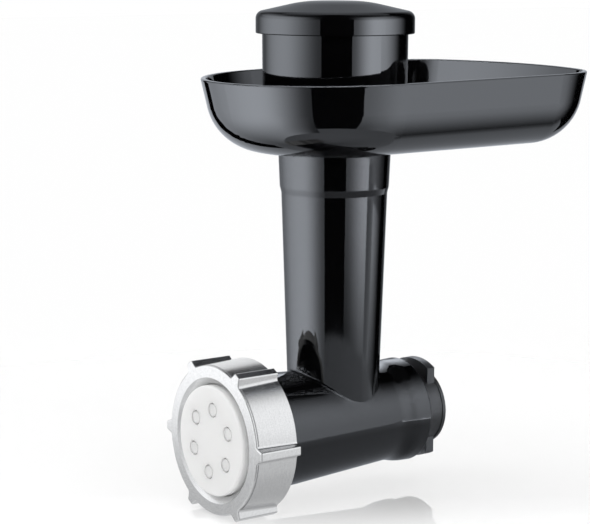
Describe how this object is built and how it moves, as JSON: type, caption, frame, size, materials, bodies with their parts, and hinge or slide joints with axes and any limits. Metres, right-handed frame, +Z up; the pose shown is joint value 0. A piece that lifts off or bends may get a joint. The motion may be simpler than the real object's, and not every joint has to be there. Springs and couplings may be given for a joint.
{
  "type": "pasta press attachment",
  "caption": "Mixer-driven pasta press: a barrel with an upright feed tube, feed tray and pusher, an auger inside, and a slotted die held by a lugged ring nut.",
  "frame": {"origin": "centre of the rear end face of the bayonet spigot, on the barrel's axis", "axes": "+Y back along the barrel's axis into the mixer, so the die faces -Y; +Z up along the feed tube; +X to the right of someone who looks at the die"},
  "size_m": [0.1378, 0.184, 0.2289],
  "materials": {
    "black_gloss": "high gloss",
    "coupling_black": "satin",
    "ring_aluminium": "satin, cast and turned",
    "die_white": "matte",
    "auger_plastic": "satin",
    "bright_steel": "turned",
    "bush_bronze": "turned",
    "seal_rubber": "matte"
  },
  "bodies": {
    "housing": {"press_housing": "black_gloss", "bayonet_coupling": "coupling_black", "coupling_screws": "bright_steel", "coupling_gasket": "seal_rubber", "rear_bush": "bush_bronze", "shaft_seal": "seal_rubber"},
    "auger": {"auger": "auger_plastic", "drive_shaft": "bright_steel", "drive_pin": "bright_steel", "nose_pin": "bright_steel", "thrust_washer": "bush_bronze"},
    "die": {"pasta_die": "die_white", "die_core_plate": "die_white"},
    "ring": {"ring_nut": "ring_aluminium"},
    "tray": {"feed_tray": "black_gloss"},
    "pusher": {"pusher_body": "black_gloss"},
    "cap": {"pusher_cap": "black_gloss"}
  },
  "joints": [
    {"name": "auger_turn", "type": "hinge", "parent": "housing", "child": "auger", "pos_m": [0, -0.06, 0], "axis": [0, -1, 0], "continuous": true},
    {"name": "die_slide", "type": "slide", "parent": "housing", "child": "die", "axis": [0, -1, 0], "range_m": [0, 0.00901]},
    {"name": "ring_turn", "type": "hinge", "parent": "die", "child": "ring", "pos_m": [0, -0.11, 0], "axis": [0, -1, 0], "range_deg": [0, 810]},
    {"name": "tray_lift", "type": "slide", "parent": "housing", "child": "tray", "axis": [0, 0, 1], "range_m": [0, 0.02]},
    {"name": "pusher_lift", "type": "slide", "parent": "tray", "child": "pusher", "axis": [0, 0, 1], "range_m": [0, 0.11]},
    {"name": "cap_lift", "type": "slide", "parent": "pusher", "child": "cap", "axis": [0, 0, 1], "range_m": [0, 0.012]}
  ],
  "couplings": [
    {"joint": "die_slide", "follows": "ring_turn", "m_per_rad": 0.00063662}
  ]
}
